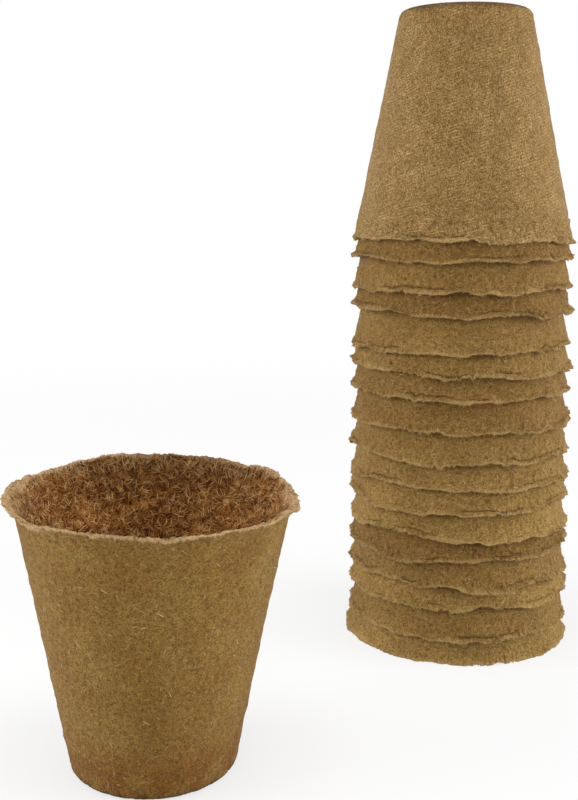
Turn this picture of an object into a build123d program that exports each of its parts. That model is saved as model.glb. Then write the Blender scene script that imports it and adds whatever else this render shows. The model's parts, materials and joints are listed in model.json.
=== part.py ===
"""A set of moulded peat pots: one standing upright, and a stack of the same pots nested upside down.

Sizes are in millimetres, with +Z up. The origin lies on the surface that the pots stand on, midway
between the axis of the standing pot and the axis of the stack. Each pot is one piece of pressed peat and
wood fibre: a tapered cup with a bevelled base and a torn, wavy lip that flares outwards.
"""

import os
from dataclasses import dataclass
from itertools import pairwise
from math import atan2, cos, pi, radians, sin

from build123d import *

# The tapered cup
POT_HEIGHT = 82.0  # underside of the base to the plane of the rim
MOUTH_DIAMETER = 80.0  # outside of the wall, carried straight up to the rim plane
BASE_DIAMETER = 48.0  # outside of the wall, carried straight down to the underside
WALL = 1.56  # usual thickness, measured square to the wall
BASE_THICKNESS = 1.8
BASE_BEVEL = 2.2  # the moulded corner between the wall and the base, outside
FLOOR_BEVEL = 2.6  # the same corner inside

# The torn lip
LIP_HEIGHT = 6.0  # how far below the rim plane the wall starts to flare
LIP_FLARE = 2.2  # how far the standing pot's lip stands out past the straight wall, on average
STACK_LIP_FLARE = 1.1  # the same for a stacked pot, whose lip is pressed closer to the next wall
LIP_THICKNESS = 1.4
LIP_WAVE = 0.7  # most that the lip's outline wanders in or out
RIM_WAVE = 0.9  # most that the torn edge wanders up or down
RIM_SLANT = 1.6  # how far the standing pot's edge rises towards one side and falls towards the other
STACK_RIM_SLANT = 0.6  # the same for a stacked pot
SLANT_TOWARDS = radians(130)  # the side where the standing pot's edge is highest, from +X
LOBE_SHARES = {2: 0.34, 3: 0.26, 5: 0.22, 8: 0.18}  # lobes round the rim, and their share of a wave
RIM_POINTS = 64  # points that carry each torn edge
LOBE_TURN = radians(137.5)  # sets the lobes of each pot apart from those of the next
STANDING_NUMBER = 106  # gives the standing pot lobes that spread its lip at the left and the right

# The stack, from the pot on the floor up
NEST_CLEARANCE = 0.25  # between one wall and the next, square to the wall
STACK_ASIDE = 105.0  # from the standing pot's axis to the stack's axis, along X
STACK_BEHIND = 108.0  # the same, along Y
# Pressed walls vary from pot to pot, and a thicker one sits higher on the pot below it.
WALL_SHARES = (1.0, 1.0, 1.1, 0.86, 1.0, 0.74, 1.1, 0.78, 1.05)
WALL_SHARES += (1.18, 1.16, 1.0, 0.74, 1.46, 0.88, 1.12, 0.87)

# Worked out from the sizes above
MOUTH_RADIUS = MOUTH_DIAMETER / 2
BASE_RADIUS = BASE_DIAMETER / 2
TAPER = atan2(MOUTH_RADIUS - BASE_RADIUS, POT_HEIGHT)  # angle between the wall and the axis
NECK_HEIGHT = POT_HEIGHT - LIP_HEIGHT
STANDING_PLACE = (-STACK_ASIDE / 2, -STACK_BEHIND / 2)
STACK_PLACE = (STACK_ASIDE / 2, STACK_BEHIND / 2)


@dataclass
class TornRim:
    """How the lip of one pot was torn."""

    number: int  # sets its lobes apart from those of the other pots
    flare: float
    wave: float = RIM_WAVE
    slant: float = 0.0
    towards: float = 0.0  # where the edge is highest


def outer_radius(height):
    """Radius of the wall's outside at a height above the underside of the base."""
    return BASE_RADIUS + (MOUTH_RADIUS - BASE_RADIUS) * height / POT_HEIGHT


def inner_radius(height, wall):
    """Radius of the wall's inside at that height, for a wall of that thickness."""
    return outer_radius(height) - wall / cos(TAPER)


def wave(angle, number):
    """From -1 to 1: how a torn lip with that number wanders at an angle round its axis."""
    return sum(
        share * cos(lobes * angle + lobes**2 * number * LOBE_TURN) for lobes, share in LOBE_SHARES.items()
    )


def torn_edge(radius, rim):
    """A closed wavy edge round the mouth, wandering in radius and in height."""
    points = []
    for step in range(RIM_POINTS):
        angle = 2 * pi * step / RIM_POINTS
        reach = radius + LIP_WAVE * wave(angle, rim.number)
        rise = rim.wave * wave(-angle, rim.number + 1) + rim.slant * cos(angle - rim.towards)
        points.append((reach * cos(angle), reach * sin(angle), POT_HEIGHT + rise))
    return Edge.make_spline(points, periodic=True)


def cup(wall):
    """The tapered cup with its bevelled base, up to the neck where the lip begins."""
    floor_corner = BASE_THICKNESS + FLOOR_BEVEL
    profile = Polyline(
        (0, 0),
        (outer_radius(BASE_BEVEL) - BASE_BEVEL, 0),
        (outer_radius(BASE_BEVEL), BASE_BEVEL),
        (outer_radius(NECK_HEIGHT), NECK_HEIGHT),
        (inner_radius(NECK_HEIGHT, wall), NECK_HEIGHT),
        (inner_radius(floor_corner, wall), floor_corner),
        (inner_radius(floor_corner, wall) - FLOOR_BEVEL, BASE_THICKNESS),
        (0, BASE_THICKNESS),
        close=True,
    )
    return revolve(Plane.XZ * make_face(profile), Axis.Z)


def lip(wall, rim):
    """The flaring ring above the neck, closed by ruled faces between its round and torn edges."""
    neck = Plane.XY.offset(NECK_HEIGHT)
    lip_radius = outer_radius(POT_HEIGHT) + rim.flare
    outer_neck = Edge.make_circle(outer_radius(NECK_HEIGHT), neck)
    inner_neck = Edge.make_circle(inner_radius(NECK_HEIGHT, wall), neck)
    outer_rim = torn_edge(lip_radius, rim)
    inner_rim = torn_edge(lip_radius - LIP_THICKNESS, rim)
    loop = (outer_neck, outer_rim, inner_rim, inner_neck)
    faces = [Face.make_surface_from_curves(first, second) for first, second in pairwise(loop)]
    faces.append(Face(Wire([outer_neck]), [Wire([inner_neck])]))
    return Solid(Shell(faces))


def peat_pot(wall, rim):
    """One whole pot, standing on its base at the origin."""
    return cup(wall).fuse(lip(wall, rim)).solids()[0]


def nest_pitch(wall):
    """How far a pot with that wall stands above the pot inside it: the walls or the bases meet first."""
    by_wall = (wall + NEST_CLEARANCE) / sin(TAPER)
    by_base = BASE_THICKNESS + NEST_CLEARANCE
    return max(by_wall, by_base)


def stack_seats():
    """Height of each stacked pot's rim plane above the floor, and its wall, from the bottom up."""
    seats = []
    seat = 0.0
    for pot, share in enumerate(WALL_SHARES):
        wall = WALL * share
        if pot > 0:
            seat += nest_pitch(wall)
        seats.append((seat, wall))
    return seats


def standing_pot():
    """The pot that stands by itself, mouth up."""
    rim = TornRim(STANDING_NUMBER, LIP_FLARE, slant=RIM_SLANT, towards=SLANT_TOWARDS)
    return Pos(*STANDING_PLACE, 0) * peat_pot(WALL, rim)


def stacked_rim(pot):
    """The lip of one stacked pot. The lowest one's edge is pressed flat by the stack that it carries."""
    if pot == 0:
        return TornRim(pot, STACK_LIP_FLARE, wave=0.0)
    return TornRim(pot, STACK_LIP_FLARE, slant=STACK_RIM_SLANT, towards=pot * LOBE_TURN)


def stacked_pots():
    """The nested pots, mouth down."""
    pots = {}
    for pot, (seat, wall) in enumerate(stack_seats()):
        solid = peat_pot(wall, stacked_rim(pot))
        pots[f"stack_pot_{pot + 1:02d}"] = Pos(*STACK_PLACE, seat + POT_HEIGHT) * Rot(X=180) * solid
    return pots


def main():
    os.makedirs("parts", exist_ok=True)
    pots = {"standing_pot": standing_pot(), **stacked_pots()}
    for name, solid in pots.items():
        export_step(solid, f"parts/{name}.step")


if __name__ == "__main__":
    main()
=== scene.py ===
"""Looks of the peat pots: a detailed mesh stands for each pot's CAD node and rides on its body.

The pots are built in millimetres, mouth up round their own axis, and become objects in metres at their
places. The loose fibres of each pot are a piece of their own.
"""

import json
import math
from dataclasses import dataclass, replace

import bpy
import numpy as np
from mathutils import Matrix, Vector


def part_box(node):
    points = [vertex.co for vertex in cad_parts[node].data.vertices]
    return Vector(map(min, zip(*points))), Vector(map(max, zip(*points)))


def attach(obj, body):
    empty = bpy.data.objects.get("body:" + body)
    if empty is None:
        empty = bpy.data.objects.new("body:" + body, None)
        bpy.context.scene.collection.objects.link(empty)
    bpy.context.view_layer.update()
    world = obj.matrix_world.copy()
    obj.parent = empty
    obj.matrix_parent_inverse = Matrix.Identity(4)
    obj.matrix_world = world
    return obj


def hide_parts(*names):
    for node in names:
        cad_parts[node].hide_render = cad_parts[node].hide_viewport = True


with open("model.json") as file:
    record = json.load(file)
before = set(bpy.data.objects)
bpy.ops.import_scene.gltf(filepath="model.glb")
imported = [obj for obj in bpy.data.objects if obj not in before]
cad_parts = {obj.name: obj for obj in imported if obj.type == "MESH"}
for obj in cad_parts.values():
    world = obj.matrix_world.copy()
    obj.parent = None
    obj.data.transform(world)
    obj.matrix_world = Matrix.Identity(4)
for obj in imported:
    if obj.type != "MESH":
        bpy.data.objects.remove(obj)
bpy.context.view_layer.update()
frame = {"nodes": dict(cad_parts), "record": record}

MM = 0.001  # metres in a millimetre
SEED = 20
# Chosen so that the stack's random pot tones follow how dark each band looks, which is mostly shade: the
# tones are partly painted shade
TONE_AND_SHADE_SEED = 2711

# The pot, as in the part's source
POT_HEIGHT = 82.0
MOUTH_RADIUS = 40.0
BASE_RADIUS = 24.0
WALL = 1.56
BASE_THICKNESS = 1.8
LIP_HEIGHT = 6.0
LIP_FLARE = 2.2
STACK_LIP_FLARE = 1.1
LIP_WAVE = 0.7
RIM_WAVE = 0.9
RIM_SLANT = 1.6
STACK_RIM_SLANT = 0.6
SLANT_TOWARDS = math.radians(130)
LOBE_SHARES = {2: 0.34, 3: 0.26, 5: 0.22, 8: 0.18}
LOBE_TURN = math.radians(137.5)
STANDING_NUMBER = 106
NEST_CLEARANCE = 0.25
TAPER = math.atan2(MOUTH_RADIUS - BASE_RADIUS, POT_HEIGHT)
NECK_HEIGHT = POT_HEIGHT - LIP_HEIGHT
MIDDLE_RADIUS = (MOUTH_RADIUS + BASE_RADIUS) / 2

# Softened corners of the moulding
BASE_ROUND = 3.0
FLOOR_ROUND = 4.0
CORNER_ROWS = 6
DISC_ROWS = 8

# The torn edge
RIM_COUNT = 1080  # points round the rim
LIP_ROWS = 22
EDGE_ROWS = 5
LIP_THICKNESS = 1.4
THICKNESS_RAG = 0.2
CURL_POWER = 1.9  # how late the lip turns outwards
LONG_RAG = 0.3  # spread of the edge's rise and fall on top of its lobes, in long bumps
RAG = 0.2  # the same in short bumps, where it is torn most
FINE_RAG = 0.14  # the same between single fibres
REACH_RAG = 0.2  # spread of the short bumps outwards
EDGE_CROWN = 0.25  # how far the torn edge stands up between its two sides
EDGE_RELIEF = 0.12
TEARS = 9  # dips and tufts of each rim
TEAR_DEPTH = 0.55
TEAR_WIDTH = (0.8, 3.2)
CREASE_DEPTH = 0.6  # the fold that runs along parts of the lip
CREASE_BELOW = 1.5  # from the edge down to the fold
CREASE_WIDTH = 0.2
INNER_CURL = 1.0  # how much earlier the lip's inside turns outwards
SKIN_STEP = 0.6  # grid of the random relief
LEAST_CURL = 1.4
LEAST_THICKNESS = 0.8
LEAST_CREASE_BELOW = 0.7
BARE_LIP = 0.4  # how far down the lip's inside is rubbed pale
BENT_BARE_LIP = 2.0  # how much further where it is bent out

# Wavelengths of the relief, from the finest to the coarsest
OUTSIDE_LUMPS = (2.4, 20)
CHIP_LUMPS = (1.5, 14)
LIP_LUMPS = (1.2, 12)
EDGE_LUMPS = (0.8, 5)
INSIDE_LUMPS = (1.8, 12)

CHIP_SHARE = 4.0  # depth of the base corner's chips, of the outside's relief
DEEPEST_DENT = -0.4  # of the inside: in millimetres on its wall, and of a usual lump on its floor
BAND_START = 72.0  # height at which the part of a stacked wall that shows begins
WALL_TURN = -0.6  # radians round a corner at which its texture starts to turn from the wall's
LEVEL_TURN = -1.2  # the same, where it has turned to the level face's


@dataclass
class Pot:
    """One pot: its CAD node, its torn rim's number and slant, its wall and where its base stands."""

    node: str
    number: int
    wall: float
    place: tuple
    upright: bool
    slant: float
    towards: float
    shown: float = POT_HEIGHT  # how much of the wall's height the next pot leaves in view
    tone: float = 0.0  # from 0, the brownest of the stack, to 1, the palest; partly the pot's own tone and partly painted shade


@dataclass
class Flap:
    """A stretch of the lip that is bent further out, and hangs down or stands up."""

    angle: float  # of its middle, in degrees from +X
    width: float  # half of it, in degrees
    out: float
    droop: float


@dataclass
class Detail:
    """How finely a pot is meshed, how deep its relief is and how its lip flares."""

    outside_count: int
    outside_step: float
    outside_relief: float
    inside_count: int
    inside_step: float
    inside_relief: float
    inner_lip_rows: int
    out_of_round: float
    flare: float
    curl: float  # how far below the edge the lip starts to turn outwards
    longer: float  # how much more of the lip is left than the CAD pot has
    rag: float  # share of the full raggedness
    pale: float  # height of the pale torn band on the outside
    crease: float  # share of the full fold
    hook: float  # how far parts of the edge are bent back
    band_relief: float  # extra relief where no other pot covers the wall
    flaps: tuple = ()
    pulled: Flap | None = None  # where the whole wall is pulled out of round
    brown: Flap | None = None  # where the edge isn't rubbed pale, and is darker


STANDING_FLAPS = (
    Flap(181, 13, 0.7, -0.8),
    Flap(217, 14, -0.5, 1.7),
    Flap(38, 9, 0.0, -1.3),
    Flap(4, 12, -0.4, 0.5),
    Flap(349, 7, 0.3, 1.6),
)
STANDING = Detail(
    outside_count=360,
    outside_step=1.2,
    outside_relief=0.1,
    inside_count=360,
    inside_step=1.4,
    inside_relief=0.34,
    inner_lip_rows=12,
    out_of_round=0.3,
    flare=LIP_FLARE - 0.5,
    curl=4.2,
    longer=-1.3,
    rag=0.45,
    pale=0.6,
    crease=0.25,
    hook=0.0,
    band_relief=0.0,
    flaps=STANDING_FLAPS,
    pulled=Flap(-4, 40, 1.4, 0.0),
    brown=Flap(80, 28, 0.0, 0.0),
)
STACKED = Detail(
    outside_count=180,
    outside_step=3.0,
    outside_relief=0.04,
    inside_count=120,
    inside_step=9.0,
    inside_relief=0.0,
    inner_lip_rows=4,
    out_of_round=0.0,
    flare=STACK_LIP_FLARE,
    curl=2.3,
    longer=0.4,
    rag=1.0,
    pale=0.7,
    crease=1.0,
    hook=0.7,
    band_relief=0.12,
)
TOPMOST = replace(
    STACKED,
    outside_count=360,
    outside_step=1.2,
    outside_relief=0.08,
    longer=1.4,
    flare=STACK_LIP_FLARE - 0.5,
)
LOWEST_FLAPS = (Flap(205, 55, 1.6, 0.0), Flap(300, 40, 1.3, 0.0))
LOWEST = replace(STACKED, crease=0.0, hook=0.0, curl=3.2, flaps=LOWEST_FLAPS)


def outer_radius(height):
    return BASE_RADIUS + (MOUTH_RADIUS - BASE_RADIUS) * height / POT_HEIGHT


def inner_radius(height, wall):
    return outer_radius(height) - wall / math.cos(TAPER)


def read_pots():
    """The pots as the frame has them, from the mount under the standing one and the height of each node."""
    x, y, _ = frame["record"]["mounts"][0]["pos_m"]
    place = (x / MM, y / MM, 0.0)
    pots = [Pot("standing_pot", STANDING_NUMBER, WALL, place, True, RIM_SLANT, SLANT_TOWARDS)]
    stack = sorted(node for node in frame["nodes"] if node.startswith("stack_pot"))
    tops = [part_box(node)[1].z / MM for node in stack]
    pitches = np.diff(tops)
    walls = [WALL, *(pitches * math.sin(TAPER) - NEST_CLEARANCE)]
    shown = [*pitches, POT_HEIGHT]
    tones = np.random.default_rng(TONE_AND_SHADE_SEED).random(len(stack))
    for number, node in enumerate(stack):
        slant = STACK_RIM_SLANT if number > 0 else 0.0
        place = (-x / MM, -y / MM, tops[number])
        towards = number * LOBE_TURN
        pot = Pot(node, number, walls[number], place, False, slant, towards, shown[number], tones[number])
        pots.append(pot)
    return pots


# Random waves and relief


def wave(angle, number):
    """From -1 to 1: how the torn lip of one pot wanders at an angle round its axis."""
    return sum(
        share * np.cos(lobes * angle + lobes**2 * number * LOBE_TURN)
        for lobes, share in LOBE_SHARES.items()
    )


def rim_lobes(angle, number, slant, towards):
    """How far the torn edge of one pot rises or falls at an angle."""
    return RIM_WAVE * wave(-angle, number + 1) + slant * np.cos(angle - towards)


def cover_height(pot, angle):
    """Height on the pot's wall at which the rim of the next pot of the stack ends."""
    number = pot.number + 1
    return POT_HEIGHT - pot.shown + rim_lobes(angle, number, STACK_RIM_SLANT, number * LOBE_TURN)


def ring_noise(rng, coarsest, finest, fall=1.0):
    """Random waves round the rim, of unit spread, from so many in the turn to so many."""
    waves = np.arange(coarsest, finest + 1)
    spectrum = np.zeros(RIM_COUNT // 2 + 1, complex)
    spectrum[waves] = waves**-fall * np.exp(2j * np.pi * rng.random(len(waves)))
    noise = np.fft.irfft(spectrum, RIM_COUNT)
    return noise / noise.std()


def skin_noise(rng, places, finest, coarsest, fall=1.0):
    """Random relief of unit spread at those places along the profile, all round, for those wavelengths."""
    rows = int(np.ptp(places) / SKIN_STEP) + 3
    girth = 2 * np.pi * MIDDLE_RADIUS
    along = np.fft.fftfreq(rows, SKIN_STEP)[:, None]
    around = np.fft.rfftfreq(RIM_COUNT, girth / RIM_COUNT)[None, :]
    pace = np.hypot(along, around)
    kept = (pace > 1 / coarsest) & (pace < 1 / finest)
    spectrum = np.where(kept, np.maximum(pace, 1 / coarsest) ** -fall, 0)
    spectrum = spectrum * np.exp(2j * np.pi * rng.random(spectrum.shape))
    noise = np.fft.irfft2(spectrum, (rows, RIM_COUNT))
    noise /= noise.std()
    at = (places - places.min()) / SKIN_STEP
    low = at.astype(int)
    part = (at - low)[:, None]
    return noise[low] * (1 - part) + noise[low + 1] * part


def smooth(low, high, value):
    """From 0 at low to 1 at high, with soft ends."""
    share = np.clip((value - low) / (high - low), 0, 1)
    return share * share * (3 - 2 * share)


# The pot's surface


class Skin:
    """Rings of points that close over a pot from the middle of its underside to the middle of its floor."""

    def __init__(self):
        self.angle = np.linspace(0, 2 * np.pi, RIM_COUNT, endpoint=False)
        self.points = []
        self.values = {"torn": [], "level": [], "crease": []}
        self.faces = []
        self.inside = []  # one flag for each face
        self.zones = {}  # rings by the part of the pot that they lie on
        self.last = None
        self.count = 0

    def pole(self, height, inside=False):
        """A single point on the axis, which starts or ends the skin."""
        self._add(np.array([[0.0, 0.0, height]]), inside, {"torn": 0.0, "level": 1.0, "crease": 0.0})

    def ring(self, zone, radius, height, count=RIM_COUNT, torn=0.0, level=0.0, crease=0.0):
        """A ring of so many points, from values given all round the rim."""
        step = RIM_COUNT // count
        radius, height, torn, crease = (
            np.broadcast_to(x, RIM_COUNT)[::step] for x in (radius, height, torn, crease)
        )
        angle = self.angle[::step]
        points = np.stack([radius * np.cos(angle), radius * np.sin(angle), height], 1)
        self.zones.setdefault(zone, []).append(points)
        inside = zone in ("inner lip", "inside", "floor")
        self._add(points, inside, {"torn": torn, "level": level, "crease": crease})

    def _add(self, points, inside, values):
        numbers = np.arange(self.count, self.count + len(points))
        self.count += len(points)
        self.points.append(points)
        for name, value in values.items():
            self.values[name].append(np.broadcast_to(value, len(points)))
        if self.last is not None:
            faces = strip_faces(self.last, numbers)
            self.faces.extend(faces)
            self.inside.extend([inside] * len(faces))
        self.last = numbers

    def grid(self, *zones):
        """The rings of those zones, from the first row to the last."""
        return np.stack([ring for zone in zones for ring in self.zones[zone]])


def strip_faces(first, second):
    """Faces between two rings; one may have a whole number of times as many points as the other."""
    if len(first) == 1:
        return np.stack([np.roll(second, -1), second, np.full(len(second), first[0])], 1).tolist()
    if len(second) == 1:
        return np.stack([first, np.roll(first, -1), np.full(len(first), second[0])], 1).tolist()
    if len(first) == len(second):
        return np.stack([first, np.roll(first, -1), np.roll(second, -1), second], 1).tolist()
    fine, coarse = (first, second) if len(first) > len(second) else (second, first)
    times = len(fine) // len(coarse)
    split = (times + 1) // 2
    following = np.roll(coarse, -1)
    faces = [np.stack([np.roll(fine, -split)[::times], following, coarse], 1)]
    for step in range(times):
        apex = coarse if step < split else following
        faces.append(np.stack([np.roll(fine, -step)[::times], np.roll(fine, -step - 1)[::times], apex], 1))
    faces = np.concatenate(faces)
    return (faces if fine is first else faces[:, ::-1]).tolist()


@dataclass
class Rim:
    """The torn edge of one pot, all round."""

    height: np.ndarray
    flare: np.ndarray
    droop: np.ndarray
    curl: np.ndarray
    thickness: np.ndarray
    crease: np.ndarray  # depth of the fold below the edge
    crease_below: np.ndarray
    flap: np.ndarray  # 1 in the middle of a hanging flap


def make_rim(pot, detail, rng, angle):
    torn_more = smooth(-1.0, 1.6, ring_noise(rng, 3, 16))
    rag = LONG_RAG * ring_noise(rng, 5, 26)
    rag += torn_more * (RAG * ring_noise(rng, 26, 120, 0.6) + FINE_RAG * ring_noise(rng, 120, 430, 0.2))
    for _ in range(TEARS):
        away = turned_from(angle, rng.uniform(0, 2 * np.pi))
        width = rng.uniform(*TEAR_WIDTH) / MOUTH_RADIUS
        rag += TEAR_DEPTH * rng.normal() * np.exp(-((away / width) ** 2))
    rag *= detail.rag
    height = POT_HEIGHT + detail.longer + rim_lobes(angle, pot.number, pot.slant, pot.towards) + rag
    flare = detail.flare + LIP_WAVE * wave(angle, pot.number)
    flare += REACH_RAG * (ring_noise(rng, 8, 50) + torn_more * ring_noise(rng, 50, 400, 0.4))
    droop = np.zeros(RIM_COUNT)
    flap = np.zeros(RIM_COUNT)
    for bent in detail.flaps:
        share = flap_share(angle, bent)
        flare += bent.out * share
        droop += bent.droop * share
        if bent.droop > 0:
            flap = np.maximum(flap, share)
    curl = detail.curl * (1 + 0.16 * ring_noise(rng, 4, 24)) + flap
    thickness = LIP_THICKNESS + THICKNESS_RAG * ring_noise(rng, 8, 90)
    crease = detail.crease * CREASE_DEPTH * smooth(-0.1, 0.9, ring_noise(rng, 3, 18))
    crease_below = CREASE_BELOW + 0.3 * ring_noise(rng, 5, 60)
    droop += detail.hook * smooth(0.3, 1.6, ring_noise(rng, 5, 40))
    if pot.number == 0:
        height = POT_HEIGHT - np.abs(rag)  # the lowest rim is pressed flat on the floor
    return Rim(
        height,
        np.maximum(flare, 0),
        droop,
        np.maximum(curl, LEAST_CURL),
        np.maximum(thickness, LEAST_THICKNESS),
        crease,
        np.maximum(crease_below, LEAST_CREASE_BELOW),
        flap,
    )


def turned_from(angle, middle):
    """How far each angle lies from the middle one, the short way round."""
    return np.angle(np.exp(1j * (angle - middle)))


def flap_share(angle, flap):
    """From 0 to 1 in the middle of a flap."""
    return np.exp(-((turned_from(angle, math.radians(flap.angle)) / math.radians(flap.width)) ** 4))


def strayed(oval, height):
    """How far the wall strays from a true cone at a height, from how far it does at the rim."""
    return oval * (height / POT_HEIGHT) ** 2.5


def tangent_corner(radius_at, height, rounding):
    """Middle of the arc that rounds the corner between a level face and the tapered wall above it."""
    middle = height + rounding
    return radius_at(middle) - rounding / math.cos(TAPER), middle


def add_outside(skin, detail, rng, oval):
    """The underside, its rounded and chipped corner, and the wall up to the neck."""
    count = detail.outside_count
    across, up = tangent_corner(outer_radius, 0, BASE_ROUND)
    skin.pole(0)
    shares = np.linspace(0, 1, DISC_ROWS + 1)[1:-1]
    for share, dents in zip(shares, skin_noise(rng, across * shares, *OUTSIDE_LUMPS)):
        hollow = 2 * detail.outside_relief * np.maximum(dents, 0) * (1 - share**4)
        skin.ring("underside", across * share, hollow, count, level=1)
    turns = np.linspace(-np.pi / 2, -TAPER, CORNER_ROWS)
    chips = skin_noise(rng, np.linspace(0, BASE_ROUND, CORNER_ROWS), *CHIP_LUMPS)
    for turn, chip in zip(turns, chips):
        rounding = BASE_ROUND + CHIP_SHARE * detail.outside_relief * np.minimum(chip, 0.3) * np.cos(turn)
        radius = across + rounding * np.cos(turn)
        level = smooth(WALL_TURN, LEVEL_TURN, turn)
        skin.ring("corner", radius, up + BASE_ROUND * np.sin(turn), count, level=level)
    start = up - BASE_ROUND * math.sin(TAPER)
    heights = np.linspace(start, NECK_HEIGHT, int((NECK_HEIGHT - start) / detail.outside_step))[1:]
    relief = skin_noise(rng, heights, *OUTSIDE_LUMPS)
    for height, lumps in zip(heights, relief):
        depth = detail.outside_relief + detail.band_relief * smooth(BAND_START, NECK_HEIGHT, height)
        radius = outer_radius(height) + depth * lumps + strayed(oval, height)
        skin.ring("outside", radius, height, count)


def add_lip(skin, pot, detail, rng, oval, rim):
    """The lip's outside with its fold, the torn edge, and the lip's inside."""
    shares = 1 - (1 - np.linspace(0, 1, LIP_ROWS + 1)[1:]) ** 1.4
    lumps = skin_noise(rng, shares * LIP_HEIGHT, *LIP_LUMPS)
    fray = 0.35 * ring_noise(rng, 6, 60) + 0.2 * ring_noise(rng, 60, 400, 0.3)
    brown = flap_share(skin.angle, detail.brown) if detail.brown else 0.0
    rubbed = 1 - 0.8 * brown
    for share, lump in zip(shares, lumps):
        height = NECK_HEIGHT + (rim.height - NECK_HEIGHT) * share
        below = rim.height - height
        turned = np.clip(1 - below / rim.curl, 0, 1) ** CURL_POWER
        fold = np.exp(-(((below - rim.crease_below) / CREASE_WIDTH) ** 2))
        depth = detail.outside_relief + detail.band_relief * (1 - turned) + EDGE_RELIEF * turned
        radius = outer_radius(height) + strayed(oval, height) + rim.flare * turned
        radius += depth * lump - rim.crease * fold
        torn = np.maximum(
            smooth(1.3 * detail.pale, 0.5 * detail.pale, below + fray),
            rim.flap * smooth(3.4, 2.2, below + fray),
        )
        # The fold's share, which also sets the painted shade along it
        crease = fold * rim.crease / CREASE_DEPTH
        skin.ring("outer lip", radius, height - rim.droop * turned**2, torn=torn, crease=crease)
    edge = radius
    lumps = skin_noise(rng, np.linspace(0, LIP_THICKNESS, EDGE_ROWS), *EDGE_LUMPS)
    for share, lump in zip(np.linspace(0, 1, EDGE_ROWS + 2)[1:-1], lumps):
        height = rim.height - rim.droop + EDGE_CROWN * math.sin(math.pi * share) + EDGE_RELIEF * lump
        if pot.number == 0:
            height = np.minimum(height, POT_HEIGHT)
        torn = rubbed * smooth(-0.9, 0.2, fray)
        skin.ring("edge", edge - rim.thickness * share, height, torn=torn, crease=0.5 * brown)
    flare = edge - rim.thickness - inner_radius(rim.height, pot.wall) - strayed(oval, rim.height)
    bare = BARE_LIP + BENT_BARE_LIP * smooth(1.5, 2.8, rim.flare)
    for share in np.linspace(1, 0, detail.inner_lip_rows, endpoint=False):
        height = NECK_HEIGHT + (rim.height - NECK_HEIGHT) * share
        below = rim.height - height
        turned = np.clip(1 - below / (rim.curl + INNER_CURL), 0, 1) ** CURL_POWER
        radius = inner_radius(height, pot.wall) + strayed(oval, height) + flare * turned
        torn = np.maximum(smooth(bare, 0.1, below + fray), rim.flap * smooth(3.0, 1.0, below + fray))
        skin.ring("inner lip", radius, height - rim.droop * turned**2, torn=rubbed * torn)


def add_inside(skin, pot, detail, rng, oval):
    """The inside of the wall, the floor's rounded corner and the floor."""
    count = detail.inside_count
    across, up = tangent_corner(lambda height: inner_radius(height, pot.wall), BASE_THICKNESS, FLOOR_ROUND)
    end = up - FLOOR_ROUND * math.sin(TAPER)
    heights = np.linspace(NECK_HEIGHT, end, int((NECK_HEIGHT - end) / detail.inside_step))[1:-1]
    relief = detail.inside_relief * skin_noise(rng, heights, *INSIDE_LUMPS)
    for height, lumps in zip(heights, relief):
        radius = inner_radius(height, pot.wall) + strayed(oval, height)
        skin.ring("inside", radius - np.maximum(lumps, DEEPEST_DENT), height, count)
    for turn in np.linspace(-TAPER, -np.pi / 2, CORNER_ROWS):
        radius = across + FLOOR_ROUND * math.cos(turn)
        level = smooth(WALL_TURN, LEVEL_TURN, turn)
        skin.ring("floor", radius, up + FLOOR_ROUND * math.sin(turn), count, level=level)
    places = np.linspace(across, 0, DISC_ROWS + 1)[1:-1]
    for place, lumps in zip(places, skin_noise(rng, places, *INSIDE_LUMPS)):
        height = BASE_THICKNESS + detail.inside_relief * np.maximum(lumps, DEEPEST_DENT)
        skin.ring("floor", place, height, count, level=1)
    skin.pole(BASE_THICKNESS, True)


def pot_skin(pot, detail, rng):
    """The whole closed surface of one pot."""
    skin = Skin()
    rim = make_rim(pot, detail, rng, skin.angle)
    oval = detail.out_of_round * wave(skin.angle + 1, pot.number)
    if detail.pulled:
        oval += detail.pulled.out * flap_share(skin.angle, detail.pulled)
    add_outside(skin, detail, rng, oval)
    add_lip(skin, pot, detail, rng, oval, rim)
    add_inside(skin, pot, detail, rng, oval)
    return skin


# Loose fibres


FIBRE_POINTS = 4
FIBRE_SIDES = 3


@dataclass
class Fibres:
    """A scatter of fibres on some rings of a pot: how many, and their sizes in millimetres."""

    zones: tuple
    count: int
    length: float
    radius: float
    lift: float = 0.08
    free: float = 0.15  # share of them that stand up at one end
    stand: float = 1.0  # how far a free end stands up
    bend: float = 0.3  # radians that a usual one turns along its length
    rows: tuple = (0.0, 1.0)


STANDING_FIBRES = (
    Fibres(("inside",), 3600, 2.4, 0.08, 0.06, 0.06, 0.5, 0.1),
    Fibres(("inside",), 500, 3.0, 0.1, 0.12, 0.1, 0.5, 0.06),
    Fibres(("inside",), 45, 4.4, 0.15, 0.2, 0.2, 0.5, 0.05),
    Fibres(("floor",), 380, 1.8, 0.1, 0.2, 0.3, 0.8, 0.2),
    Fibres(("outside",), 260, 1.6, 0.1, 0.02, 0.03, 0.5, 0.1),
    Fibres(("outside",), 22, 2.4, 0.15, 0.04, 0.0, 0.0, 0.1),
    Fibres(("outer lip", "edge", "inner lip"), 1300, 1.1, 0.08, 0.05, 0.4, 0.4, 0.4, (0.5, 0.9)),
)
STACKED_FIBRES = (
    Fibres(("outside",), 40, 1.8, 0.09, 0.02, 0.08, 0.5, 0.15, (0.93, 1.0)),
    Fibres(("outer lip",), 110, 1.6, 0.09, 0.02, 0.1, 0.4, 0.2, (0.0, 0.7)),
    Fibres(("outer lip", "edge"), 700, 1.1, 0.1, 0.05, 0.5, 0.7, 0.3, (0.7, 1.0)),
)
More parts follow.
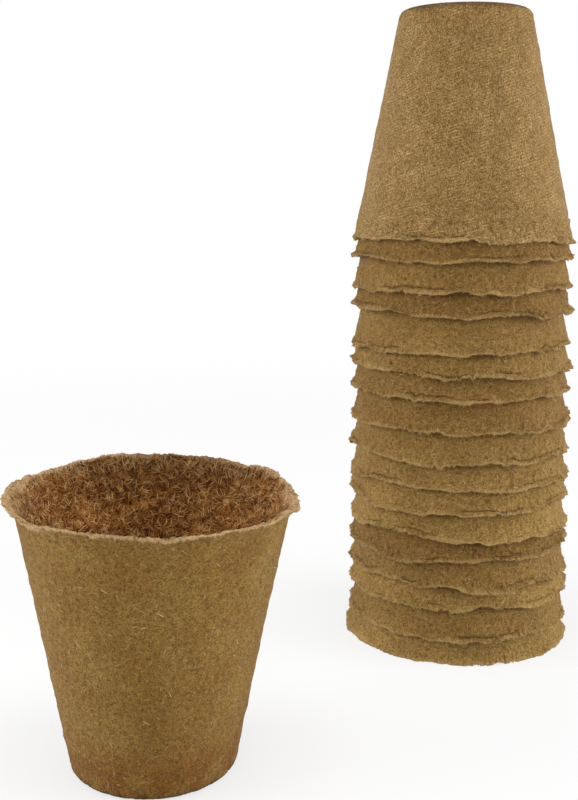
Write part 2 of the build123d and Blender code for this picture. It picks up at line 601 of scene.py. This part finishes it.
TOPMOST_FIBRES = STACKED_FIBRES[1:] + (
    Fibres(("outside",), 160, 1.3, 0.09, 0.02, 0.04, 0.4, 0.1),
    Fibres(("corner",), 90, 1.0, 0.08, 0.05, 0.3, 0.5, 0.2),
)


def sample(grid, row, column):
    """Points between those of a grid of rings, and the way that the surface faces there."""
    rows, count = grid.shape[:2]
    row = np.clip(row, 0, rows - 1.001)
    low = row.astype(int)
    left = np.floor(column).astype(int)
    row_share = (row - low)[..., None]
    column_share = (column - left)[..., None]
    left, right = left % count, (left + 1) % count
    lower = grid[low, left] * (1 - column_share) + grid[low, right] * column_share
    upper = grid[low + 1, left] * (1 - column_share) + grid[low + 1, right] * column_share
    facing = np.cross(grid[low, right] - grid[low, left], upper - lower)
    facing /= np.linalg.norm(facing, axis=-1, keepdims=True)
    return lower * (1 - row_share) + upper * row_share, facing


def lay_fibres(skin, kind, rng):
    """Centre lines of a scatter of fibres on the skin, the way that each point faces, and their radii."""
    grid = skin.grid(*kind.zones)
    rows, columns = grid.shape[:2]
    row_step = np.linalg.norm(np.diff(grid, axis=0), axis=2).mean()
    column_step = np.linalg.norm(np.diff(grid, axis=1), axis=2).mean()
    along = np.linspace(-0.5, 0.5, FIBRE_POINTS)
    length = kind.length * rng.lognormal(0, 0.35, kind.count)
    heading = rng.uniform(0, np.pi, kind.count)
    bend = rng.normal(0, kind.bend, kind.count)
    turn = heading[:, None] + bend[:, None] * along
    reach = length[:, None] * along
    row = rng.uniform(*kind.rows, kind.count)[:, None] * (rows - 1) + reach * np.sin(turn) / row_step
    column = rng.uniform(0, columns, kind.count)[:, None] + reach * np.cos(turn) / column_step
    points, facing = sample(grid, row, column)
    stand = kind.stand * rng.random(kind.count) * (rng.random(kind.count) < kind.free)
    bent_up = 1.7 * np.maximum(along + 0.2, 0) ** 1.5  # from 0 before its middle to 1 at its free end
    rise = kind.lift * rng.random(kind.count)[:, None] + stand[:, None] * bent_up
    radius = kind.radius * rng.lognormal(0, 0.25, kind.count)
    return points + facing * rise[..., None], facing, radius


def fibre_mesh(points, facing, radius):
    """Tapered prisms along the centre lines."""
    count = len(points)
    tangent = np.gradient(points, axis=1)
    side = np.cross(tangent, facing)
    side /= np.linalg.norm(side, axis=-1, keepdims=True)
    taper = np.sqrt(1.05 - np.linspace(-1, 1, FIBRE_POINTS) ** 2)
    thick = (radius[:, None] * taper)[:, :, None, None]
    turn = 2 * np.pi * np.arange(FIBRE_SIDES) / FIBRE_SIDES
    spokes = np.cos(turn)[:, None] * side[:, :, None, :] + np.sin(turn)[:, None] * facing[:, :, None, :]
    vertices = points[:, :, None, :] + thick * spokes
    number = np.arange(count * FIBRE_POINTS * FIBRE_SIDES).reshape(count, FIBRE_POINTS, FIBRE_SIDES)
    near, far = number[:, :-1], number[:, 1:]
    sides = np.stack([near, far, np.roll(far, -1, 2), np.roll(near, -1, 2)], -1).reshape(-1, 4)
    ends = np.concatenate([number[:, 0], number[:, -1, ::-1]])
    return vertices.reshape(-1, 3), sides.tolist() + ends.tolist()


# Objects


def new_object(name, points, faces, pot, materials):
    """A smooth mesh from points in millimetres in the pot's own frame, put where the pot stands."""
    mesh = bpy.data.meshes.new(name)
    mesh.from_pydata((np.asarray(points) * MM).tolist(), [], faces)
    mesh.shade_smooth()
    for material in materials:
        mesh.materials.append(material)
    made = bpy.data.objects.new(name, mesh)
    bpy.context.scene.collection.objects.link(made)
    turn = Matrix.Identity(4) if pot.upright else Matrix.Rotation(math.pi, 4, "X")
    made.matrix_world = Matrix.Translation([x * MM for x in pot.place]) @ turn
    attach(made, pot.node)
    return made


def add_values(made, name, values):
    attribute = made.data.attributes.new(name, "FLOAT", "POINT")
    attribute.data.foreach_set("value", np.asarray(values, np.float32))


def build_pot(pot, detail, scatters, materials, fibre_material):
    rng = np.random.default_rng([SEED, pot.number])
    skin = pot_skin(pot, detail, rng)
    surface = np.concatenate(skin.points)
    body = new_object(f"{pot.node}_body", surface, skin.faces, pot, materials)
    body.data.polygons.foreach_set("material_index", np.array(skin.inside, np.int32))
    for name, values in skin.values.items():
        add_values(body, name, np.concatenate(values))
    add_values(body, "pot_number", np.full(skin.count, pot.number))
    add_values(body, "pot_tone_and_shade", np.full(skin.count, pot.tone))
    # Height of the next pot's rim all round, which places the painted shade under it; with no pot above, it
    # falls at the foot
    add_values(body, "cover", cover_height(pot, np.arctan2(surface[:, 1], surface[:, 0])))
    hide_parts(pot.node)

    laid = [lay_fibres(skin, kind, rng) for kind in scatters]
    points, facing, radius = (np.concatenate(values) for values in zip(*laid))
    vertices, faces = fibre_mesh(points, facing, radius)
    if pot.number == 0:
        vertices[:, 2] = np.minimum(vertices[:, 2], POT_HEIGHT)  # none reaches into the floor
    fibres = new_object(f"{pot.node}_fibres", vertices, faces, pot, [fibre_material])
    depth = np.concatenate([np.full(k.count, k.zones[0] in ("inside", "floor"), float) for k in scatters])
    add_values(fibres, "tone", np.repeat(rng.random(len(points)), FIBRE_POINTS * FIBRE_SIDES))
    add_values(fibres, "inside", np.repeat(depth, FIBRE_POINTS * FIBRE_SIDES))


# Materials


class Graph:
    """Short ways to make a material's nodes and join them. Each gives the socket that holds its result."""

    def __init__(self, name):
        self.material = bpy.data.materials.new(name)
        self.material.use_nodes = True
        self.tree = self.material.node_tree
        self.shader = self.tree.nodes["Principled BSDF"]

    def node(self, kind, values, **settings):
        """A node with those settings, and with values or other sockets on its inputs, by name or number."""
        made = self.tree.nodes.new(f"ShaderNode{kind}")
        for name, setting in settings.items():
            setattr(made, name, setting)
        for name, value in values.items():
            self.feed(made.inputs[name], value)
        return made

    def feed(self, socket, value):
        if isinstance(value, bpy.types.NodeSocket):
            self.tree.links.new(value, socket)
        else:
            socket.default_value = value

    def math(self, operation, first, second=0.0):
        return self.node("Math", {0: first, 1: second}, operation=operation).outputs[0]

    def vector(self, operation, first, second):
        slot = "Scale" if operation == "SCALE" else 1
        return self.node("VectorMath", {0: first, slot: second}, operation=operation).outputs[0]

    def attribute(self, name):
        return self.node("Attribute", {}, attribute_name=name).outputs["Fac"]

    def ramp(self, value, low, high, start=0.0, end=1.0):
        """From start at low to end at high, with soft ends."""
        limits = {"From Min": low, "From Max": high, "To Min": start, "To Max": end}
        made = self.node("MapRange", {"Value": value, **limits}, interpolation_type="SMOOTHSTEP")
        return made.outputs[0]

    def blend(self, share, first, second):
        """Between two colours."""
        made = self.node("Mix", {0: share, 6: first, 7: second}, data_type="RGBA")
        return made.outputs[2]

    def noise(self, place, size, detail=2.0, roughness=0.5):
        """Noise whose largest lumps are about that many millimetres wide."""
        values = {"Vector": place, "Scale": 1 / size, "Detail": detail, "Roughness": roughness}
        return self.node("TexNoise", values).outputs[0]

    def cells(self, place, dimensions="3D"):
        """Distance from the nearest of random points about 1 apart, and two random numbers for it."""
        made = self.node("TexVoronoi", {"Vector": place, "Scale": 1.0}, voronoi_dimensions=dimensions)
        split = self.node("SeparateColor", {0: made.outputs["Color"]})
        return made.outputs["Distance"], split.outputs[0], split.outputs[1]


def colour(red, green, blue):
    return (red, green, blue, 1.0)


POTS_APART = (61.3, 37.9, 17.1)  # sets the texture of each pot apart from that of the next


def own_place(graph):
    """The point in the pot's frame, in millimetres."""
    return graph.vector("SCALE", graph.node("TexCoord", {}).outputs["Object"], 1 / MM)


def pot_places(graph):
    """The point in the pot's frame, set apart from pot to pot, the same on a flat sheet, and the height."""
    place = own_place(graph)
    axes = graph.node("SeparateXYZ", {0: place}).outputs
    around = graph.math("MULTIPLY", graph.math("ARCTAN2", axes[1], axes[0]), MIDDLE_RADIUS)
    wall = graph.node("CombineXYZ", {0: around, 1: axes[2]}).outputs[0]
    flat = graph.node("CombineXYZ", {0: axes[0], 1: axes[1]}).outputs[0]
    choice = {0: graph.attribute("level"), 4: wall, 5: flat}
    mixed = graph.node("Mix", choice, data_type="VECTOR").outputs[1]
    apart = graph.vector("SCALE", POTS_APART, graph.attribute("pot_number"))
    return graph.vector("ADD", place, apart), graph.vector("ADD", mixed, apart), axes[2]


# Room for each stroke along and across it, its directions, and the share of rooms that hold one
FELT_STROKES = ((3.2, 0.46), 5, 0.4)
# Dark strokes of painted shade in the gaps between fibres
SHADED_GAP_STROKES = ((2.2, 0.44), 4, 0.3)
PALE_STROKES = ((3.4, 0.5), 6, 0.014)
MATTED_STROKES = ((3.4, 0.44), 6, 0.45)
LOOSE_STROKES = ((3.8, 0.44), 5, 0.14)


def strokes(graph, sheet, room, directions, share):
    """Where short straight strokes lie in several directions, from 0 to 1 by how pale each is."""
    drift = graph.node("TexNoise", {"Vector": sheet, "Scale": 0.25}).outputs["Color"]
    sheet = graph.vector("ADD", sheet, graph.vector("SCALE", drift, 0.25))
    found = None
    for direction in range(directions):
        turn = math.pi * (direction + 0.35) / directions
        turned = graph.node("VectorRotate", {"Vector": sheet, "Angle": turn}, rotation_type="Z_AXIS")
        moved = graph.vector("ADD", turned.outputs[0], (31.7 * direction, 17.3 * direction, 0))
        shrunk = graph.vector("MULTIPLY", moved, (1 / room[0], 1 / room[1], 1))
        distance, pick, pale = graph.cells(shrunk, "2D")
        picked = graph.math("LESS_THAN", pick, share)
        stroke = graph.math("MULTIPLY", graph.ramp(distance, 0.34, 0.24), picked)
        stroke = graph.math("MULTIPLY", stroke, graph.ramp(pale, 0.0, 1.0, 0.35, 1.0))
        found = stroke if found is None else graph.math("MAXIMUM", found, stroke)
    return found


def finish_material(graph, base, height, depth):
    """The dry, matt finish of pressed peat, with that relief in millimetres."""
    bump = graph.node("Bump", {"Height": height, "Distance": depth * MM, "Strength": 1.0})
    graph.feed(graph.shader.inputs["Normal"], bump.outputs[0])
    graph.feed(graph.shader.inputs["Base Color"], base)
    graph.shader.inputs["Roughness"].default_value = 0.92
    graph.shader.inputs["Specular IOR Level"].default_value = 0.1
    graph.shader.inputs["Sheen Weight"].default_value = 0.13
    graph.shader.inputs["Sheen Roughness"].default_value = 0.5
    graph.shader.inputs["Sheen Tint"].default_value = colour(0.9, 0.82, 0.68)
    return graph.material


TORN_COLOUR = colour(0.54, 0.353, 0.18)
STACKED_TORN_COLOUR = colour(0.47, 0.32, 0.128)
STAIN_COLOUR = colour(0.19, 0.085, 0.024)
FOOT_COLOUR = colour(0.17, 0.062, 0.006)
FOOT_HEIGHTS = (22.0, 4.0)  # where the stain at the foot starts, and where it is full
SPECK_COLOUR = colour(0.06, 0.026, 0.002)
STROKE_COLOUR = colour(0.44, 0.3, 0.13)
# Painted shade in the fold along the lip
FOLD_SHADE_COLOUR = colour(0.06, 0.028, 0.004)
# Ends of the pot-to-pot tone, which is partly painted shade
BROWNEST_POT_AND_SHADE = colour(0.79, 0.71, 0.6)
PALEST_POT_AND_LIGHT = colour(1.23, 1.26, 1.24)
# Painted shade on a wall just under the rim of the next pot
UNDER_RIM_SHADE_COLOUR = colour(0.1, 0.042, 0.004)
UNDER_RIM_SHADE_ABOVE = (3.0, 0.4)  # millimetres above the next pot's rim where the painted shade under it starts, and where it is full
UNDER_RIM_SHADE_BELOW = (-7.0, -1.0)  # the same, from below
PIT_SHARE = 0.45  # of the specks' colour
PALE_STROKE_SHARE = 0.55  # of the strokes' colour
SPECK_ROOM = 1.2
SPECK_SHARE = 0.14  # of the rooms that hold a speck
SPECK_DARK_SHARE = 0.75
OUTSIDE_BUMP = 0.16
INSIDE_BUMP = 0.25
GRAIN_SHARES = (0.8, 1.0, 1.6)  # how much more the blue of the pulp swings than its red
PALE_FELT = colour(1.3, 1.34, 1.5)
# Painted shade in the gaps between the felt's fibres
GAP_SHADE_TINT = colour(0.68, 0.63, 0.42)
NO_CHANGE = colour(1, 1, 1)
PRINT_DARK = colour(0.9, 0.88, 0.82)
PRINT_PALE = colour(1.18, 1.19, 1.22)
PRINT_PITCH = 1.05  # millimetres from row to row of the mould's wire
PRINT_TURN = math.radians(16)

# The inside and the loose fibres, from the darkest to the palest
GROUND_COLOURS = (colour(0.095, 0.025, 0.001), colour(0.17, 0.053, 0.005))
MATTED_COLOURS = (colour(0.38, 0.15, 0.032), colour(0.56, 0.26, 0.066))
LOOSE_COLOUR = colour(0.74, 0.46, 0.18)
OUTSIDE_FIBRE_COLOURS = (colour(0.27, 0.16, 0.055), colour(0.52, 0.37, 0.18))
INSIDE_FIBRE_COLOURS = (colour(0.18, 0.06, 0.009), colour(0.78, 0.49, 0.2))


@dataclass
class Looks:
    """How the outside of a pot looks."""

    name: str
    light: tuple
    dark: tuple
    torn: tuple
    contrast: float  # of the grain
    imprint: float  # share of the mould's wire print
    palest: float  # share of the torn colour on the edge
    foot: float  # share of the stain at the foot
    varied: bool = False  # whether the tone, which is partly painted shade, differs from pot to pot


# Copies of one pulp: the standing pot's colours are set darker and more olive as painted shade, the stacked
# pots' paler as painted light
STANDING_LOOKS = Looks(
    "outside_standing",
    light=colour(0.232, 0.133, 0.029),
    dark=colour(0.201, 0.101, 0.019),
    torn=TORN_COLOUR,
    contrast=0.26,
    imprint=0.0,
    palest=1.0,
    foot=0.85,
)
STACKED_LOOKS = Looks(
    "outside_stacked",
    light=colour(0.3, 0.186, 0.061),
    dark=colour(0.26, 0.156, 0.047),
    torn=STACKED_TORN_COLOUR,
    contrast=0.28,
    imprint=0.2,
    palest=0.5,
    foot=0.0,
    varied=True,
)
TOPMOST_LOOKS = Looks(
    "outside_topmost",
    light=colour(0.288, 0.178, 0.064),
    dark=colour(0.254, 0.153, 0.052),
    torn=STACKED_TORN_COLOUR,
    contrast=0.5,
    imprint=1.0,
    palest=0.5,
    foot=0.1,
)


def mottled_pulp(graph, looks, place, height):
    """The ground colour of the outside, with stains, most at the foot, and painted shade under the rim of
    the next pot.
    """
    base = graph.blend(graph.ramp(graph.noise(place, 14, 3), 0.3, 0.7), looks.dark, looks.light)
    # Pot-to-pot tone: partly each pot's own, partly painted shade
    if looks.varied:
        tone = graph.blend(graph.attribute("pot_tone_and_shade"), BROWNEST_POT_AND_SHADE, PALEST_POT_AND_LIGHT)
        base = graph.vector("MULTIPLY", base, tone)
    stain = graph.ramp(graph.noise(place, 7, 2), 0.56, 0.78, 0, 0.3)
    blotches = graph.ramp(graph.noise(place, 9, 3), 0.32, 0.56)
    low = graph.math("MULTIPLY", graph.ramp(height, *FOOT_HEIGHTS), blotches)
    base = graph.blend(stain, base, STAIN_COLOUR)
    base = graph.blend(graph.math("MULTIPLY", low, looks.foot), base, FOOT_COLOUR)
    # Painted shade under the next pot's rim, broken into patches by noise
    above = graph.math("SUBTRACT", height, graph.attribute("cover"))
    under = graph.math("MULTIPLY", graph.ramp(above, *UNDER_RIM_SHADE_ABOVE), graph.ramp(above, *UNDER_RIM_SHADE_BELOW))
    under = graph.math("MULTIPLY", under, graph.ramp(graph.noise(place, 9, 2), 0.35, 0.65, 0.25, 0.65))
    return graph.blend(under, base, UNDER_RIM_SHADE_COLOUR)


def outside_material(looks):
    """Pressed pulp: mottled tan with grain, specks, strokes, the mould's wire print and a torn edge, with
    painted shade in the felt's gaps, in the lip's fold and under the next pot's rim.
    """
    graph = Graph(looks.name)
    place, sheet, height = pot_places(graph)
    base = mottled_pulp(graph, looks, place, height)
    grain = graph.noise(place, 0.42, 1.5, 0.6)
    swing = graph.math("MULTIPLY", graph.ramp(grain, 0.32, 0.68, -1, 1), looks.contrast)
    swing = graph.vector("ADD", graph.vector("SCALE", GRAIN_SHARES, swing), (1, 1, 1))
    base = graph.vector("MULTIPLY", base, swing)
    felt = strokes(graph, sheet, *FELT_STROKES)
    base = graph.vector("MULTIPLY", base, graph.blend(felt, NO_CHANGE, PALE_FELT))
    # Painted shade in the gaps between the felt's fibres; the same gaps are sunk into the relief
    shaded_gaps = strokes(graph, graph.vector("ADD", sheet, (4.7, 9.4, 0)), *SHADED_GAP_STROKES)
    base = graph.vector("MULTIPLY", base, graph.blend(shaded_gaps, NO_CHANGE, GAP_SHADE_TINT))
    pits = graph.ramp(graph.noise(graph.vector("ADD", place, (7.7, 3.1, 9.2)), 0.5, 1), 0.41, 0.3)
    base = graph.blend(graph.math("MULTIPLY", pits, PIT_SHARE), base, SPECK_COLOUR)
    distance, pick, _ = graph.cells(graph.vector("SCALE", place, 1 / SPECK_ROOM))
    picked = graph.math("LESS_THAN", pick, SPECK_SHARE)
    speck = graph.math("MULTIPLY", graph.ramp(distance, 0.3, 0.18), picked)
    base = graph.blend(graph.math("MULTIPLY", speck, SPECK_DARK_SHARE), base, SPECK_COLOUR)
    stroke = strokes(graph, sheet, *PALE_STROKES)
    base = graph.blend(graph.math("MULTIPLY", stroke, PALE_STROKE_SHARE), base, STROKE_COLOUR)

    raised = graph.math("MULTIPLY", graph.math("MAXIMUM", stroke, felt), 0.4)
    relief = graph.math("SUBTRACT", graph.math("ADD", grain, raised), graph.math("MAXIMUM", pits, shaded_gaps))
    if looks.imprint > 0:
        rows = graph.math("MULTIPLY", wire_print(graph, sheet, place), looks.imprint)
        base = graph.vector("MULTIPLY", base, graph.blend(rows, PRINT_DARK, PRINT_PALE))
        relief = graph.math("ADD", relief, graph.math("MULTIPLY", rows, 0.35))
    palest = graph.ramp(grain, 0.35, 0.6, 0.5 * looks.palest, looks.palest)
    base = graph.blend(graph.math("MULTIPLY", graph.attribute("torn"), palest), base, looks.torn)
    # Painted shade along the lip's fold; the same dark colour at half strength darkens the edge where it
    # isn't rubbed pale
    crease = graph.math("MULTIPLY", graph.attribute("crease"), graph.ramp(grain, 0.65, 0.4, 0.35, 0.9))
    base = graph.blend(crease, base, FOLD_SHADE_COLOUR)
    return finish_material(graph, base, relief, OUTSIDE_BUMP)


def wire_print(graph, sheet, place):
    """Fine slanting rows that the mould's wire leaves, broken up by the pulp, 0 to 1."""
    across = (-math.sin(PRINT_TURN), math.cos(PRINT_TURN), 0)
    along = graph.node("VectorMath", {0: sheet, 1: across}, operation="DOT_PRODUCT").outputs["Value"]
    swing = graph.math("MULTIPLY", graph.noise(place, 2.6), 2.6)
    phase = graph.math("ADD", graph.math("MULTIPLY", along, 2 * math.pi / PRINT_PITCH), swing)
    rows = graph.ramp(graph.math("SINE", phase), -0.6, 0.9)
    patches = graph.ramp(graph.noise(place, 5, 3), 0.4, 0.62)
    return graph.math("MULTIPLY", rows, patches)


INSIDE_SHADING_HEIGHTS = (55.0, 79.0)  # between which painted shade darkens the inside towards the rim
INSIDE_SHADING_SHARES = (1.08, 0.76)  # of its colours, at those heights: painted light low down, painted shade near the rim
SIDE_SHADE_HEIGHTS = (68.0, 80.0)  # between which painted shade darkens one side further
SIDE_SHADE_PLACES = (12.0, 36.0)  # along Y, between which that side begins
SIDE_SHADE_SHARE = 0.3


def painted_inside_shading(graph, place):
    """Painted light and shade on the inside: lighter low down, darker towards the rim, and darker still
    under the rim on the +Y side.
    """
    axes = graph.node("SeparateXYZ", {0: place}).outputs
    shaded_side = graph.ramp(axes[1], *SIDE_SHADE_PLACES, 0, SIDE_SHADE_SHARE)
    rim_side_shade = graph.math("MULTIPLY", graph.ramp(axes[2], *SIDE_SHADE_HEIGHTS), shaded_side)
    return graph.math("SUBTRACT", graph.ramp(axes[2], *INSIDE_SHADING_HEIGHTS, *INSIDE_SHADING_SHARES), rim_side_shade)


def inside_material():
    """The rough inside: dark red-brown matted fibre with paler loose fibres under painted light and shade,
    rubbed pale at the lip.
    """
    graph = Graph("inside")
    place, sheet, _ = pot_places(graph)
    clouds = graph.ramp(graph.noise(place, 7, 3), 0.3, 0.7)
    base = graph.blend(clouds, *GROUND_COLOURS)
    grain = graph.noise(place, 0.6, 1.5, 0.6)
    base = graph.vector("SCALE", base, graph.ramp(grain, 0.36, 0.64, 0.4, 1.7))
    matted = strokes(graph, sheet, *MATTED_STROKES)
    base = graph.blend(matted, base, graph.blend(clouds, *MATTED_COLOURS))
    loose = strokes(graph, graph.vector("ADD", sheet, (5.3, 8.1, 0)), *LOOSE_STROKES)
    base = graph.blend(loose, base, LOOSE_COLOUR)
    # Painted light and shade
    base = graph.vector("SCALE", base, painted_inside_shading(graph, own_place(graph)))
    relief = graph.math("ADD", grain, graph.math("MAXIMUM", graph.math("MULTIPLY", matted, 0.6), loose))
    torn = graph.math("MULTIPLY", graph.attribute("torn"), graph.ramp(grain, 0.35, 0.6, 0.35, 1.0))
    base = graph.blend(torn, base, TORN_COLOUR)
    return finish_material(graph, base, relief, INSIDE_BUMP)


def fibre_material():
    graph = Graph("fibres")
    tone = graph.attribute("tone")
    outside = graph.blend(tone, *OUTSIDE_FIBRE_COLOURS)
    inside = graph.blend(graph.ramp(tone, 0.2, 1.0), *INSIDE_FIBRE_COLOURS)
    # The inside fibres get the same painted light and shade
    inside = graph.vector("SCALE", inside, painted_inside_shading(graph, own_place(graph)))
    base = graph.blend(graph.attribute("inside"), outside, inside)
    graph.feed(graph.shader.inputs["Base Color"], base)
    graph.shader.inputs["Roughness"].default_value = 0.7
    graph.shader.inputs["Specular IOR Level"].default_value = 0.3
    return graph.material


# Stage, lights and camera

# The camera, from the photograph's perspective and the size of the pots
CAMERA_PLACE = (-15.2, -383.8, 169.9)
CAMERA_DOWN = math.radians(5.57)
CAMERA_TURN = math.radians(0.36)  # to the right
CAMERA_ROLL = math.radians(0.18)
CAMERA_LENS = 52.41  # millimetres, on a 36 mm sensor along the picture's long side
SENSOR = 36.0
PICTURE_HEIGHT = 800  # pixels
LENS_AXIS_ABOVE = 103.2  # pixels from the middle of the picture up to the lens's axis
FLOOR_REACH = 4.0  # metres
FLOOR_NEAR = 0.25  # metres from the origin: up to here the floor keeps the whole shadow
FLOOR_FAR = 0.8  # metres: from here on it is even white
FLOOR_GLOW_SHARE = 0.72


def add_camera():
    data = bpy.data.cameras.new("camera")
    data.sensor_width = SENSOR
    data.lens = CAMERA_LENS
    data.shift_y = -LENS_AXIS_ABOVE / PICTURE_HEIGHT
    data.clip_start = 0.01
    camera = bpy.data.objects.new("camera", data)
    aim = Matrix.Rotation(-CAMERA_TURN, 4, "Z") @ Matrix.Rotation(math.pi / 2 - CAMERA_DOWN, 4, "X")
    place = Matrix.Translation([x * MM for x in CAMERA_PLACE])
    camera.matrix_world = place @ aim @ Matrix.Rotation(CAMERA_ROLL, 4, "Z")
    bpy.context.scene.collection.objects.link(camera)
    bpy.context.scene.camera = camera


def seen_directly(tree):
    """1 on rays that show the background itself, also in gloss and glass."""
    path = tree.nodes.new("ShaderNodeLightPath")
    seen = path.outputs["Is Camera Ray"]
    for name in ("Is Glossy Ray", "Is Transmission Ray"):
        either = tree.nodes.new("ShaderNodeMath")
        either.operation = "MAXIMUM"
        tree.links.new(seen, either.inputs[0])
        tree.links.new(path.outputs[name], either.inputs[1])
        seen = either.outputs[0]
    return seen


def floor_material():
    """White paper: most of what the camera sees of it is even white, and the rest keeps the shadows."""
    graph = Graph("floor")
    graph.shader.inputs["Base Color"].default_value = colour(0.86, 0.86, 0.86)
    graph.shader.inputs["Roughness"].default_value = 1.0
    glow = graph.node("Emission", {"Color": colour(1, 1, 1), "Strength": 1.0})
    place = graph.node("TexCoord", {}).outputs["Object"]
    away = graph.node("VectorMath", {0: place}, operation="LENGTH").outputs["Value"]
    glow_share = graph.ramp(away, FLOOR_NEAR, FLOOR_FAR, FLOOR_GLOW_SHARE, 1.0)
    share = graph.math("MULTIPLY", seen_directly(graph.tree), glow_share)
    mixed = graph.node("MixShader", {0: share, 1: graph.shader.outputs[0], 2: glow.outputs[0]})
    graph.tree.links.new(mixed.outputs[0], graph.tree.nodes["Material Output"].inputs["Surface"])
    return graph.material


def add_floor():
    reach = FLOOR_REACH
    mesh = bpy.data.meshes.new("floor")
    corners = [(-reach, -reach, 0), (reach, -reach, 0), (reach, reach, 0), (-reach, reach, 0)]
    mesh.from_pydata(corners, [], [(0, 1, 2, 3)])
    mesh.materials.append(floor_material())
    floor = bpy.data.objects.new("floor", mesh)
    bpy.context.scene.collection.objects.link(floor)


WORLD_LIGHT = 0.5


def add_world():
    world = bpy.data.worlds.new("world")
    world.use_nodes = True
    tree = world.node_tree
    light = tree.nodes["Background"]
    light.inputs["Strength"].default_value = WORLD_LIGHT
    light.inputs["Color"].default_value = colour(1, 1, 1)
    white = tree.nodes.new("ShaderNodeBackground")
    white.inputs["Color"].default_value = colour(1, 1, 1)
    mixed = tree.nodes.new("ShaderNodeMixShader")
    tree.links.new(seen_directly(tree), mixed.inputs[0])
    tree.links.new(light.outputs[0], mixed.inputs[1])
    tree.links.new(white.outputs[0], mixed.inputs[2])
    tree.links.new(mixed.outputs[0], tree.nodes["World Output"].inputs["Surface"])
    bpy.context.scene.world = world


LIGHT_AIM = Vector((0, 0, 0.1))
# Name, place and width in metres, and power in watts
LIGHTS = (
    ("left_light", (-1.0, -0.2, 0.35), 0.8, 8.5),
    ("right_light", (1.0, -0.2, 0.35), 0.8, 9.0),
    ("top_light", (0.0, -0.2, 1.3), 0.9, 6.0),
)


def add_lights():
    for name, place, size, power in LIGHTS:
        data = bpy.data.lights.new(name, "AREA")
        data.shape = "DISK"
        data.size = size
        data.energy = power
        light = bpy.data.objects.new(name, data)
        light.location = place
        light.rotation_euler = (LIGHT_AIM - Vector(place)).to_track_quat("-Z", "Y").to_euler()
        bpy.context.scene.collection.objects.link(light)


def main():
    inside = inside_material()
    standing = outside_material(STANDING_LOOKS)
    stacked = outside_material(STACKED_LOOKS)
    topmost = outside_material(TOPMOST_LOOKS)
    fibres = fibre_material()
    pots = read_pots()
    for pot in pots:
        if pot.upright:
            build_pot(pot, STANDING, STANDING_FIBRES, [standing, inside], fibres)
        elif pot is pots[1]:
            build_pot(pot, LOWEST, STACKED_FIBRES, [stacked, inside], fibres)
        elif pot is pots[-1]:
            build_pot(pot, TOPMOST, TOPMOST_FIBRES, [topmost, inside], fibres)
        else:
            build_pot(pot, STACKED, STACKED_FIBRES, [stacked, inside], fibres)
    add_camera()
    add_floor()
    add_lights()
    add_world()
    bpy.context.scene.view_settings.view_transform = "Standard"


main()
